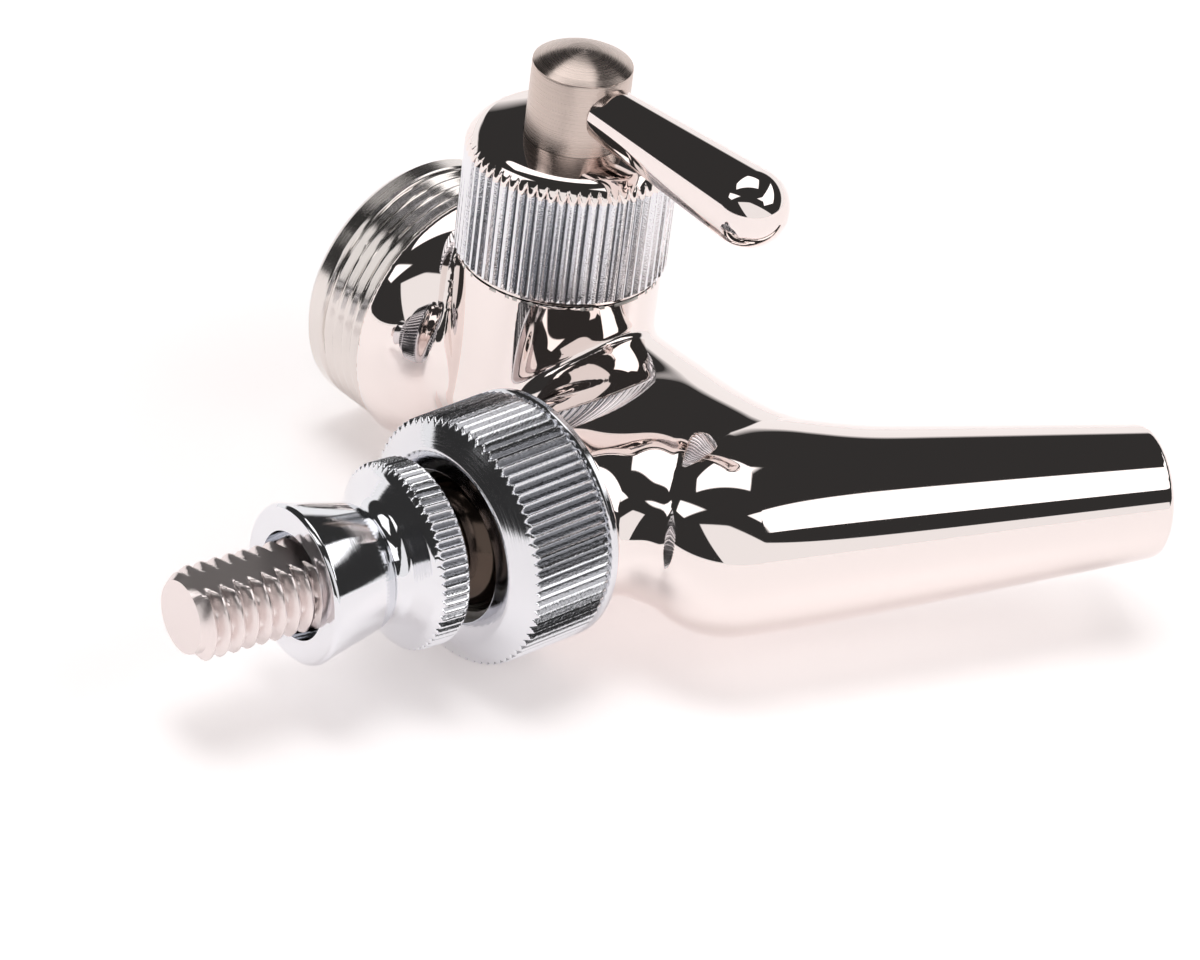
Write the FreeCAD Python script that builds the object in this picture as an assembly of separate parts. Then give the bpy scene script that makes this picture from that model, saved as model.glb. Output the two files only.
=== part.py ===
import FreeCAD, Part
import math
import os

from FreeCAD import Placement, Rotation, Vector

# Beer faucet with flow control, drawn lying on its side, in millimetres.
# The origin is the centre of the inlet face. The inlet axis runs along Y and beer flows towards -Y.
# The flow-control stem stands along +Z, the lever stud points along -X and the spout leaves along +X.

os.makedirs("parts", exist_ok=True)

# Inlet flange, which takes the coupling nut of a tap shank
inlet_thread_radius = 14.29
inlet_thread_length = 8.6
inlet_edge = 0.5
flange_shoulder_radius = 14.7
flange_shoulder_rise = 0.5
flange_waist_radius = 13.95
flange_waist_run = 3.3
flange_taper_run = 8.3
flange_heel_rise = 0.9
flange_heel_run = 0.8
gasket_recess_radius = 12.0
gasket_recess_depth = 2.0
gasket_thickness = 1.6
gasket_hole_step = 0.3
inlet_bore_step = 0.4
inlet_bore_end = 9.0

# Barrel of the body and its through bore
barrel_radius = 10.0
barrel_bore_radius = 6.5
flow_axis_depth = 22.7
lever_axis_depth = 42.2
valve_port_radius = 4.4

# Nose and spout, which lean forward in the plane of the inlet and the lever
spout_lean = 21.7
nose_radius = 10.45
nose_side = -3.9
nose_run = 13.6
spout_root_length = 6.0
spout_root_step = 0.15
spout_shoulder_run = 8.0
spout_shoulder_step = 0.58
spout_length = 46.8
spout_tip_radius = 7.05
spout_lip_round = 0.7
spout_bore_radius = 4.9
spout_mouth_radius = 5.3
spout_mouth_length = 5.0
spout_crook_fillet = 7.0

# Flow-control boss, cap and stem
boss_radius = 10.7
boss_drop = 5.0
boss_round = 4.0
boss_shoulder_height = 14.6
spigot_thread_radius = 9.5
spigot_length = 8.8
drum_bore_radius = 7.6
drum_bore_floor = 7.4
crank_throw = 2.6
crank_pin_radius = 1.2
crank_pin_bottom = 3.0
crank_pin_grip = 4.0
cap_knurl_radius = 11.1
cap_knurl_depth = 0.42
cap_knurl_teeth = 58
cap_rim_width = 0.5
cap_height = 14.4
cap_ceiling_gap = 0.8
cap_round = 1.6
stem_radius = 5.2
stem_rim_rise = 3.7
stem_dome_height = 1.5
stem_washer_thickness = 0.6
flow_lever_rise = 4.5
flow_lever_root_radius = 2.95
flow_lever_tip_radius = 4.1
flow_lever_reach = 30.0
flow_lever_screw_radius = 2.5
flow_lever_screw_length = 3.4

# Neck, bonnet, ball joint and lever
ball_side = 24.5
ball_radius = 7.94
closed_lean = 6.5
neck_radius = 10.3
neck_root_step = 1.0
neck_root_run = 5.0
neck_thread_radius = 11.4
neck_thread_length = 7.0
neck_mouth_rise = 0.9
neck_bore_radius = 6.4
ball_pocket_gap = 0.56
ball_pocket_depth = 10.2
bonnet_length = 12.0
bonnet_knurl_radius = 13.1
bonnet_knurl_depth = 0.55
bonnet_knurl_teeth = 64
bonnet_rim_width = 1.3
bonnet_bevel_width = 1.7
bonnet_face_radius = 10.2
bonnet_opening_radius = 8.0
bonnet_front_wall = 1.5
cup_radius = 9.4
cup_length = 2.9
friction_washer_thickness = 0.8
arm_length = 19.5
arm_radius = 1.9
arm_tip_radius = 2.3
lever_shoulder_radius = 5.6
lever_shoulder_reach = 9.1
stud_radius = 4.7625
stud_reach = 35.7
stud_chamfer = 1.05
stud_flat_height = 3.75
stud_flat_length = 19.0

# Collar on the stud
collar_back_reach = 7.7
collar_disc_width = 4.1
collar_edge = 0.6
collar_knurl_radius = 9.7
collar_knurl_depth = 0.45
collar_knurl_teeth = 50
collar_waist_run = 1.8
collar_neck_radius = 5.9
collar_bell_run = 1.4
collar_bell_radius = 6.5
collar_bell_length = 8.0
collar_bell_edge = 0.4
collar_mouth_radius = 8.3
collar_mouth_hole_radius = 5.6
collar_mouth_hole_depth = 4.0

# Throttle, which the crank pin moves along the barrel towards its seat
flow_turn_limit = 45.0
throttle_seat_width = 3.0
throttle_seat_hole_radius = 4.2
throttle_tip_length = 2.8
throttle_tip_radius = 2.6
throttle_cone_length = 1.8
throttle_cone_radius = 4.7
throttle_guide_reach = 3.9
throttle_notch_radius = 1.6
throttle_notch_count = 4

# Valve shaft, which the lever's arm pushes along the barrel
shaft_core_radius = 2.2
shaft_rear_flange_width = 1.8
shaft_front_flange_width = 1.6
shaft_notch_radius = 1.5
shaft_notch_count = 6
shaft_lip_width = 0.8

# Seals
ball_seal_section = 1.1
ball_seal_inset = 1.44
stem_seal_section = 0.8
seal_seat_lap = 0.6

# Clearances
running_clearance = 0.05
seal_clearance = 0.05
seat_clearance = 0.1
thread_clearance = 0.1
free_clearance = 0.3

# Depths along the inlet axis and radii that follow from the sizes above
flange_shoulder_depth = inlet_thread_length + flange_shoulder_rise
flange_waist_depth = flange_shoulder_depth + flange_waist_run
flange_depth = flange_shoulder_depth + flange_taper_run
inlet_bore_radius = barrel_bore_radius + inlet_bore_step
gasket_hole_radius = inlet_bore_radius + gasket_hole_step
nose_depth = lever_axis_depth + nose_run
spout_root_radius = nose_radius - spout_root_step
spout_shoulder_length = spout_root_length + spout_shoulder_run
spout_shoulder_radius = spout_root_radius - spout_shoulder_step
throttle_seat_back = inlet_bore_end
throttle_seat_front = throttle_seat_back + throttle_seat_width
throttle_reach = crank_throw * math.sin(math.radians(flow_turn_limit))
throttle_guide_back = flow_axis_depth - throttle_guide_reach
throttle_guide_front = flow_axis_depth + throttle_guide_reach

# The shaft stands either side of the arm's tip, and the valve seat lies just past its seal
shaft_seal_section = (barrel_bore_radius - valve_port_radius) / 2 - seal_clearance
arm_tip_depth = lever_axis_depth + arm_length * math.sin(math.radians(closed_lean))
shaft_rear_face = arm_tip_depth - arm_tip_radius - free_clearance
shaft_front_face = arm_tip_depth + arm_tip_radius + free_clearance
shaft_front = shaft_front_face + shaft_front_flange_width
valve_seat_depth = shaft_front + 2 * shaft_seal_section + seal_clearance + seat_clearance

# Heights of the flow control over the inlet axis
spigot_height = boss_shoulder_height + spigot_length
cap_bottom = boss_shoulder_height + seat_clearance
cap_top = cap_bottom + cap_height
flow_lever_height = cap_top + flow_lever_rise
stem_rim_height = flow_lever_height + stem_rim_rise

# Distances of the neck, ball pocket and bonnet from the barrel's axis
neck_mouth = ball_side + neck_mouth_rise
neck_thread_start = neck_mouth - neck_thread_length
ball_pocket_radius = ball_radius + ball_pocket_gap
ball_pocket_floor = neck_mouth - ball_pocket_depth
ball_seal_ring_radius = ball_radius - ball_seal_inset
seal_seat_hole_radius = ball_seal_ring_radius - seal_seat_lap
cup_bottom = ball_side + seat_clearance
cup_top = cup_bottom + cup_length
bonnet_ceiling = cup_top + friction_washer_thickness + free_clearance
bonnet_front = bonnet_ceiling + bonnet_front_wall
bonnet_back = bonnet_front - bonnet_length

# Distances of the collar's steps from the ball's centre
collar_disc_reach = collar_back_reach + collar_disc_width
collar_neck_reach = collar_disc_reach + collar_waist_run
collar_bell_reach = collar_neck_reach + collar_bell_run
collar_mouth_reach = collar_bell_reach + collar_bell_length

INLET = Placement(Vector(0, 0, 0), Rotation(Vector(1, 0, 0), 90))
FLOW = Placement(Vector(0, -flow_axis_depth, 0), Rotation())
NECK = Placement(Vector(0, -lever_axis_depth, 0), Rotation(Vector(0, 1, 0), -90))
BALL_CENTRE = Vector(-ball_side, -lever_axis_depth, 0)
LEVER = Placement(BALL_CENTRE, Rotation(Vector(0, 0, 1), -closed_lean) * Rotation(Vector(0, 1, 0), -90))
NOSE_CENTRE = Vector(nose_side, -nose_depth, 0)
SPOUT = Placement(NOSE_CENTRE, Rotation(Vector(0, 0, 1), -spout_lean) * Rotation(Vector(0, 1, 0), 90))


def turned(place, start, *steps):
    """Solid of revolution: a closed outline of (radius, height) points, turned about the local Z.
    A step of two numbers is a straight line to a point, one of four an arc through a point to another."""
    edges = []
    here = Vector(start[0], 0, start[1])
    first = here
    for step in steps:
        there = Vector(step[-2], 0, step[-1])
        if len(step) == 4:
            middle = Vector(step[0], 0, step[1])
            edges.append(Part.Arc(here, middle, there).toShape())
        else:
            edges.append(Part.LineSegment(here, there).toShape())
        here = there
    if (here - first).Length > 1e-6:
        edges.append(Part.LineSegment(here, first).toShape())
    face = Part.Face(Part.Wire(edges))
    solid = face.revolve(Vector(0, 0, 0), Vector(0, 0, 1), 360)
    solid.Placement = place
    return solid


def rod(place, radius, bottom, top):
    """Plain cylinder along the local Z from bottom to top."""
    solid = Part.makeCylinder(radius, top - bottom, Vector(0, 0, bottom))
    solid.Placement = place
    return solid


def ring(place, inner, outer, bottom, top):
    """Flat ring along the local Z."""
    return turned(place, (inner, bottom), (outer, bottom), (outer, top), (inner, top))


def o_ring(place, ring_radius, section, height):
    """Rubber ring of round section around the local Z."""
    solid = Part.makeTorus(ring_radius, section, Vector(0, 0, height))
    solid.Placement = place
    return solid


def knurled(place, solids, bore, radius, depth, teeth, bottom, top):
    """Fuses plain turned solids with a band of straight V teeth and bores the result."""
    corners = []
    for i in range(2 * teeth):
        reach = radius if i % 2 == 0 else radius - depth
        angle = math.pi * i / teeth
        corners.append(Vector(reach * math.cos(angle), reach * math.sin(angle), bottom))
    corners.append(corners[0])
    band = Part.Face(Part.makePolygon(corners)).extrude(Vector(0, 0, top - bottom))
    band.Placement = place
    return band.fuse(solids).cut(bore)


def save(name, shape):
    """Writes one piece as a clean single solid."""
    if len(shape.Solids) == 1:
        shape = shape.Solids[0]
    shape.exportStep("parts/" + name + ".step")
    print(name, "solids", len(shape.Solids), "valid", shape.isValid(), "volume", round(shape.Volume, 1))


def barrel_and_flange():
    """Threaded flange, the rounded shoulder that narrows to the barrel, and the barrel up to the nose."""
    heel_radius = barrel_radius + flange_heel_rise
    heel_bend = barrel_radius + 0.3 * flange_heel_rise
    heel_end = flange_depth + flange_heel_run
    return turned(
        INLET,
        (0, 0),
        (inlet_thread_radius - inlet_edge, 0),
        (inlet_thread_radius, inlet_edge),
        (inlet_thread_radius, inlet_thread_length),
        (flange_shoulder_radius, flange_shoulder_depth),
        (flange_waist_radius, flange_waist_depth, heel_radius, flange_depth - flange_heel_rise),
        (heel_bend, flange_depth - 0.4 * flange_heel_run, barrel_radius, heel_end),
        (barrel_radius, nose_depth),
        (0, nose_depth),
    )


def boss():
    """Upright boss for the flow control, rounded where it dips past the barrel, with a threaded spigot."""
    lean = boss_round * math.sqrt(0.5)
    return turned(
        FLOW,
        (0, -boss_drop),
        (boss_radius - boss_round, -boss_drop),
        (boss_radius - boss_round + lean, -boss_drop + boss_round - lean,
         boss_radius, -boss_drop + boss_round),
        (boss_radius, boss_shoulder_height),
        (spigot_thread_radius, boss_shoulder_height),
        (spigot_thread_radius, spigot_height),
        (0, spigot_height),
    )


def neck():
    """Neck for the lever, with the threaded collar that the bonnet screws on."""
    flare = neck_thread_radius - neck_radius
    return turned(
        NECK,
        (0, 0),
        (barrel_radius - neck_root_step, 0),
        (neck_radius, neck_root_run),
        (neck_radius, neck_thread_start - 2 * flare),
        (neck_thread_radius, neck_thread_start),
        (neck_thread_radius, neck_mouth),
        (0, neck_mouth),
    )


def nose_and_spout():
    """Rounded nose and the tapering spout, turned in one outline about the leaning spout axis."""
    half = nose_radius * math.sqrt(0.5)
    lip = spout_lip_round
    return turned(
        SPOUT,
        (0, -nose_radius),
        (half, -half, nose_radius, 0),
        (spout_root_radius, spout_root_length),
        (spout_shoulder_radius, spout_shoulder_length),
        (spout_tip_radius, spout_length - lip),
        (spout_tip_radius - 0.3 * lip, spout_length - 0.3 * lip, spout_tip_radius - lip, spout_length),
        (0, spout_length),
    )


def outside():
    """Outside of the casting, with a fillet in the crook between the barrel and the spout."""
    whole = barrel_and_flange().fuse([boss(), neck(), nose_and_spout()])
    crook = []
    for edge in whole.Edges:
        middle = edge.CenterOfMass
        crosses = edge.Curve.TypeId == "Part::GeomBSplineCurve"
        if crosses and middle.x > barrel_radius / 2 and -middle.y > lever_axis_depth:
            crook.append(edge)
    return whole.makeFillet(spout_crook_fillet, crook)


def faucet_body():
    """The casting: flange, barrel, boss, neck, nose and spout with its bores."""
    outer = outside()
    recess = rod(INLET, gasket_recess_radius, -1, gasket_recess_depth)
    inlet_bore = rod(INLET, inlet_bore_radius, -1, inlet_bore_end)
    barrel_bore = rod(INLET, barrel_bore_radius, -1, valve_seat_depth)
    port = rod(INLET, valve_port_radius, -1, nose_depth)
    drum_bore = rod(FLOW, drum_bore_radius, drum_bore_floor, spigot_height + 1)
    crank_hole = rod(FLOW, crank_throw + crank_pin_radius + free_clearance, 0, drum_bore_floor + 1)
    arm_bore = rod(NECK, neck_bore_radius, 0, neck_mouth)
    pocket = rod(NECK, ball_pocket_radius, ball_pocket_floor, neck_mouth + 1)
    cup_step = rod(NECK, cup_radius + running_clearance, ball_side - seat_clearance, neck_mouth + 1)
    spout_bore = turned(
        SPOUT,
        (0, -spout_bore_radius),
        (spout_bore_radius * 0.8, -spout_bore_radius * 0.6, spout_bore_radius, 0),
        (spout_mouth_radius, spout_length - spout_mouth_length),
        (spout_mouth_radius, spout_length + 1),
        (0, spout_length + 1),
    )
    along_barrel = [recess, inlet_bore, barrel_bore, port, spout_bore]
    across_barrel = [drum_bore, crank_hole, arm_bore, pocket, cup_step]
    return outer.cut(along_barrel + across_barrel).removeSplitter()


def coupling_gasket():
    """Washer in the mouth of the inlet that seals against the shank."""
    outer = gasket_recess_radius - free_clearance
    front = gasket_recess_depth - gasket_thickness
    return ring(INLET, gasket_hole_radius, outer, front, gasket_recess_depth)


def bore_guide(radius, count, notch_radius, blank, back, front):
    """Cuts round flow notches along the rim of a piece that slides in the barrel's bore."""
    notches = []
    for i in range(count):
        angle = 2 * math.pi * (i + 0.5) / count
        centre = Vector(radius * math.cos(angle), radius * math.sin(angle), back - 1)
        notch = Part.makeCylinder(notch_radius, front - back + 2, centre)
        notch.Placement = INLET
        notches.append(notch)
    return blank.cut(notches)


def throttle_seat():
    """Ring pressed in the inlet bore, whose hole the throttle's cone closes in on."""
    return ring(INLET, throttle_seat_hole_radius, barrel_bore_radius - running_clearance,
                throttle_seat_back, throttle_seat_front)


def flow_throttle():
    """Sliding throttle: a notched guide, a cross slot for the crank pin and a cone towards the inlet."""
    guide = barrel_bore_radius - running_clearance
    rim = throttle_seat_front + throttle_reach
    cone_end = rim + throttle_cone_length
    blank = turned(
        INLET,
        (0, rim - throttle_tip_length),
        (throttle_tip_radius, rim - throttle_tip_length),
        (throttle_seat_hole_radius - free_clearance, rim),
        (throttle_cone_radius, cone_end),
        (throttle_cone_radius, throttle_guide_back),
        (guide, throttle_guide_back),
        (guide, throttle_guide_front),
        (0, throttle_guide_front),
    )
    half_width = crank_pin_radius + free_clearance
    half_length = crank_throw + crank_pin_radius + free_clearance
    slot = Part.makeBox(2 * half_length, 2 * half_width, guide + 1,
                        Vector(-half_length, -half_width, crank_pin_bottom - free_clearance))
    slot.Placement = FLOW
    guided = bore_guide(guide, throttle_notch_count, throttle_notch_radius, blank,
                        throttle_guide_back, throttle_guide_front)
    return guided.cut(slot)


def crank_pin():
    """Off-centre pin in the underside of the stem's drum, which works in the throttle's slot."""
    pin = Part.makeCylinder(crank_pin_radius, stem_drive_bottom() + crank_pin_grip - crank_pin_bottom,
                            Vector(crank_throw, 0, crank_pin_bottom))
    pin.Placement = FLOW
    return pin


def seal_groove(section, radius, height):
    """Square groove for a ring of the given section in a shaft of the given radius."""
    half = section + seal_clearance
    return ring(FLOW, radius - 2 * section - seal_clearance, radius + 1, height - half, height + half)


def stem_drive_bottom():
    """Underside of the stem's drum, just over the floor of its bore."""
    return drum_bore_floor + seat_clearance


def stem_drive_top():
    """Shoulder of the stem under its washer."""
    return spigot_height + cap_ceiling_gap - stem_washer_thickness - 2 * seat_clearance


def stem_seal_heights():
    """Heights of the two rings in the drum of the stem."""
    bottom = stem_drive_bottom()
    span = stem_drive_top() - bottom
    return [bottom + span * 0.3, bottom + span * 0.7]


def flow_stem():
    """Stem with its sealed drum, domed top, the hole of the crank pin and the screw hole of the lever."""
    drum = drum_bore_radius - running_clearance
    bottom = stem_drive_bottom()
    shoulder = stem_drive_top()
    dome_radius = (stem_radius ** 2 + stem_dome_height ** 2) / (2 * stem_dome_height)
    half = stem_radius / 2
    dome_drop = dome_radius - math.sqrt(dome_radius ** 2 - half ** 2)
    top = stem_rim_height + stem_dome_height
    stem = turned(
        FLOW,
        (0, bottom),
        (drum, bottom),
        (drum, shoulder),
        (stem_radius, shoulder),
        (stem_radius, stem_rim_height),
        (half, top - dome_drop, 0, top),
    )
    socket = Part.makeCylinder(crank_pin_radius + running_clearance, crank_pin_grip + seat_clearance + 1,
                               Vector(crank_throw, 0, bottom - 1))
    socket.Placement = FLOW
    grooves = [seal_groove(stem_seal_section, drum, height) for height in stem_seal_heights()]
    return stem.cut(grooves + [socket, flow_lever_hole()])


def flow_lever_place():
    """Local Z runs forward from the stem's axis at the height of the flow lever."""
    return Placement(Vector(0, -flow_axis_depth, flow_lever_height), Rotation(Vector(1, 0, 0), 90))


def flow_lever_seat():
    """How far the spot face for the flow lever lies from the stem's axis."""
    return math.sqrt(stem_radius ** 2 - flow_lever_root_radius ** 2) - 2 * seat_clearance


def flow_lever_hole():
    """Spot face and blind screw hole in the front of the stem."""
    seat = flow_lever_seat()
    place = flow_lever_place()
    face = rod(place, flow_lever_root_radius + seat_clearance, seat, stem_radius + 1)
    screw = rod(place, flow_lever_screw_radius + running_clearance,
                seat - flow_lever_screw_length - seat_clearance, stem_radius + 1)
    return face.fuse(screw)


def flow_lever():
    """Polished bar that swells towards a round tip, with the screw that holds it in the stem."""
    seat = flow_lever_seat() + seat_clearance
    centre = flow_lever_reach - flow_lever_tip_radius
    lean = flow_lever_tip_radius * math.sqrt(0.5)
    return turned(
        flow_lever_place(),
        (0, seat - flow_lever_screw_length),
        (flow_lever_screw_radius, seat - flow_lever_screw_length),
        (flow_lever_screw_radius, seat),
        (flow_lever_root_radius, seat),
        (flow_lever_tip_radius, centre),
        (lean, centre + lean, 0, flow_lever_reach),
    )


def stem_washer():
    """Slippery washer between the stem's shoulder and the ceiling of the cap."""
    bottom = stem_drive_top() + seat_clearance
    outer = drum_bore_radius - free_clearance
    return ring(FLOW, stem_radius + running_clearance, outer, bottom, bottom + stem_washer_thickness)


def cap_gasket():
    """Flat ring between the end of the spigot and the ceiling of the cap."""
    inner = drum_bore_radius + free_clearance
    outer = spigot_thread_radius - free_clearance
    return ring(FLOW, inner, outer, spigot_height, spigot_height + cap_ceiling_gap)


def flow_cap():
    """Knurled cap with a thin plain rim, a rounded shoulder and a polished flat top."""
    bottom = cap_bottom
    top = cap_top
    ceiling = spigot_height + cap_ceiling_gap
    crown_radius = cap_knurl_radius - cap_knurl_depth
    crown = top - cap_round
    lean = cap_round * (1 - math.sqrt(0.5))
    rim = rod(FLOW, cap_knurl_radius - 0.5 * cap_knurl_depth, bottom, bottom + cap_rim_width)
    shoulder = turned(
        FLOW,
        (0, crown),
        (crown_radius, crown),
        (crown_radius - lean, top - lean, crown_radius - cap_round, top),
        (0, top),
    )
    bore = turned(
        FLOW,
        (0, bottom - 1),
        (spigot_thread_radius + thread_clearance, bottom - 1),
        (spigot_thread_radius + thread_clearance, ceiling),
        (stem_radius + running_clearance, ceiling),
        (stem_radius + running_clearance, top + 1),
        (0, top + 1),
    )
    return knurled(FLOW, [rim, shoulder], bore, cap_knurl_radius, cap_knurl_depth, cap_knurl_teeth,
                   bottom + cap_rim_width, crown)


def seal_seat():
    """Ring in the neck that carries the ball's seal."""
    gap = ball_radius + ball_seal_section + seal_clearance
    seal = ball_side - math.sqrt(gap ** 2 - ball_seal_ring_radius ** 2)
    floor = ball_pocket_floor
    outer = ball_pocket_radius - running_clearance
    shelf = seal - ball_seal_section - seal_clearance
    return turned(
        NECK,
        (seal_seat_hole_radius, floor),
        (outer, floor),
        (outer, seal + 0.5 * ball_seal_section),
        (ball_seal_ring_radius + ball_seal_section + seal_clearance, seal + 0.5 * ball_seal_section),
        (ball_seal_ring_radius + ball_seal_section + seal_clearance, shelf),
        (seal_seat_hole_radius, shelf),
    )


def ball_seal():
    """Rubber ring that the lever's ball presses on."""
    gap = ball_radius + ball_seal_section + seal_clearance
    height = ball_side - math.sqrt(gap ** 2 - ball_seal_ring_radius ** 2)
    return o_ring(NECK, ball_seal_ring_radius, ball_seal_section, height)


def bearing_cup():
    """Plastic cup with a spherical seat in front of the ball."""
    blank = ring(NECK, 0.5 * ball_radius, cup_radius, cup_bottom, cup_top)
    socket = Part.makeSphere(ball_radius + running_clearance, Vector(0, 0, ball_side))
    socket.Placement = NECK
    return blank.cut(socket)


def friction_washer():
    """Washer that the bonnet presses on the bearing cup."""
    inner = math.sqrt(ball_radius ** 2 - cup_length ** 2)
    return ring(NECK, inner, cup_radius, cup_top, cup_top + friction_washer_thickness)


def bonnet():
    """Knurled compression bonnet with a plain rear rim and a bevelled front round the lever's opening."""
    inner = neck_thread_radius + thread_clearance
    ceiling = bonnet_ceiling
    shelf = neck_mouth + seat_clearance
    bevel = bonnet_front - bonnet_bevel_width
    edge = 0.3 * bonnet_knurl_depth
    rim = turned(
        NECK,
        (0, bonnet_back),
        (bonnet_knurl_radius - edge, bonnet_back),
        (bonnet_knurl_radius, bonnet_back + edge),
        (bonnet_knurl_radius, bonnet_back + bonnet_rim_width),
        (0, bonnet_back + bonnet_rim_width),
    )
    front = turned(
        NECK,
        (0, bevel),
        (bonnet_knurl_radius - bonnet_knurl_depth, bevel),
        (bonnet_face_radius, bonnet_front),
        (0, bonnet_front),
    )
    bore = turned(
        NECK,
        (0, bonnet_back - 1),
        (inner, bonnet_back - 1),
        (inner, shelf),
        (cup_radius + seat_clearance, shelf),
        (cup_radius + seat_clearance, ceiling),
        (bonnet_opening_radius, ceiling),
        (bonnet_opening_radius, bonnet_front + 1),
        (0, bonnet_front + 1),
    )
    return knurled(NECK, [rim, front], bore, bonnet_knurl_radius, bonnet_knurl_depth, bonnet_knurl_teeth,
                   bonnet_back + bonnet_rim_width, bevel)


def lever():
    """Threaded stud, ball and lower arm in one piece, leaning back as when the tap is shut."""
    ball = Part.makeSphere(ball_radius)
    shoulder = Part.makeCylinder(lever_shoulder_radius, lever_shoulder_reach)
    stud = Part.makeCylinder(stud_radius, stud_reach - stud_chamfer)
    point = Part.makeCone(stud_radius, stud_radius - stud_chamfer, stud_chamfer,
                          Vector(0, 0, stud_reach - stud_chamfer))
    arm = Part.makeCylinder(arm_radius, arm_length, Vector(0, 0, -arm_length))
    tip = Part.makeSphere(arm_tip_radius, Vector(0, 0, -arm_length))
    whole = ball.fuse([shoulder, stud, point, arm, tip])
    flats = []
    for side in (1, -1):
        low = stud_flat_height if side > 0 else -stud_radius - 1
        depth = stud_radius + 1 - stud_flat_height
        flats.append(Part.makeBox(2 * stud_radius + 2, depth, stud_flat_length + 1,
                                  Vector(-stud_radius - 1, low, stud_reach - stud_flat_length)))
    whole = whole.cut(flats).removeSplitter()
    whole.Placement = LEVER
    return whole


def lever_collar():
    """Bell-shaped collar with a knurled disc, screwed on the stud under a tap handle."""
    bore_radius = stud_radius + thread_clearance
    recess = lever_shoulder_radius + seat_clearance
    shoulder = lever_shoulder_reach + seat_clearance
    disc = collar_knurl_radius - collar_knurl_depth
    counterbore = collar_mouth_reach - collar_mouth_hole_depth
    back = turned(
        LEVER,
        (0, collar_back_reach),
        (disc - collar_edge, collar_back_reach),
        (disc, collar_back_reach + collar_edge),
        (0, collar_back_reach + collar_edge),
    )
    bell = turned(
        LEVER,
        (0, collar_disc_reach - collar_edge),
        (disc, collar_disc_reach - collar_edge),
        (disc - collar_edge, collar_disc_reach),
        (collar_neck_radius + collar_edge, collar_neck_reach - collar_edge,
         collar_neck_radius, collar_neck_reach),
        (collar_neck_radius, collar_bell_reach - collar_bell_edge),
        (collar_bell_radius, collar_bell_reach),
        (collar_mouth_radius, collar_mouth_reach - collar_bell_edge),
        (collar_mouth_radius - collar_bell_edge, collar_mouth_reach),
        (0, collar_mouth_reach),
    )
    bore = turned(
        LEVER,
        (0, collar_back_reach - 1),
        (recess, collar_back_reach - 1),
        (recess, shoulder),
        (bore_radius, shoulder),
        (bore_radius, counterbore),
        (collar_mouth_hole_radius, counterbore),
        (collar_mouth_hole_radius, collar_mouth_reach + 1),
        (0, collar_mouth_reach + 1),
    )
    return knurled(LEVER, [back, bell], bore, collar_knurl_radius, collar_knurl_depth, collar_knurl_teeth,
                   collar_back_reach + collar_edge, collar_disc_reach - collar_edge)


def valve_shaft():
    """Spool sliding in the barrel: two notched flanges either side of the arm's tip, and a sealed head."""
    flange = barrel_bore_radius - running_clearance
    back = shaft_rear_face - shaft_rear_flange_width
    hub = shaft_seal_ring_radius() - shaft_seal_section - seal_clearance
    head = valve_seat_depth - seat_clearance
    lip = valve_port_radius - free_clearance
    spool = turned(
        INLET,
        (0, back),
        (flange, back),
        (flange, shaft_rear_face),
        (shaft_core_radius, shaft_rear_face),
        (shaft_core_radius, shaft_front_face),
        (flange, shaft_front_face),
        (flange, shaft_front),
        (hub, shaft_front),
        (hub, head),
        (lip, head),
        (lip, head + shaft_lip_width),
        (0, head + shaft_lip_width),
    )
    return bore_guide(flange, shaft_notch_count, shaft_notch_radius, spool, back, shaft_front)


def shaft_seal_ring_radius():
    """Mid radius of the shaft's seal, centred on the valve seat's face."""
    return (valve_port_radius + barrel_bore_radius) / 2


def shaft_seal():
    """Ring on the shaft's head that shuts the way into the spout."""
    height = shaft_front + shaft_seal_section + seal_clearance / 2
    return o_ring(INLET, shaft_seal_ring_radius(), shaft_seal_section, height)


def ring_in_bore(section, height):
    """Ring in a groove of the drum, just clear of the bore's wall."""
    ring_radius = drum_bore_radius - seal_clearance / 2 - section
    return o_ring(FLOW, ring_radius, section, height)


save("faucet_body", faucet_body())
save("coupling_gasket", coupling_gasket())
save("throttle_seat", throttle_seat())
save("flow_throttle", flow_throttle())
save("crank_pin", crank_pin())
save("flow_stem", flow_stem())
for label, height in zip(("lower", "upper"), stem_seal_heights()):
    save("stem_seal_" + label, ring_in_bore(stem_seal_section, height))
save("flow_lever", flow_lever())
save("stem_washer", stem_washer())
save("cap_gasket", cap_gasket())
save("flow_cap", flow_cap())
save("seal_seat", seal_seat())
save("ball_seal", ball_seal())
save("bearing_cup", bearing_cup())
save("friction_washer", friction_washer())
save("bonnet", bonnet())
save("lever", lever())
save("lever_collar", lever_collar())
save("valve_shaft", valve_shaft())
save("shaft_seal", shaft_seal())
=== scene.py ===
import math
import bmesh
import bpy
import numpy as np
from mathutils import Matrix, Vector


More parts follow.
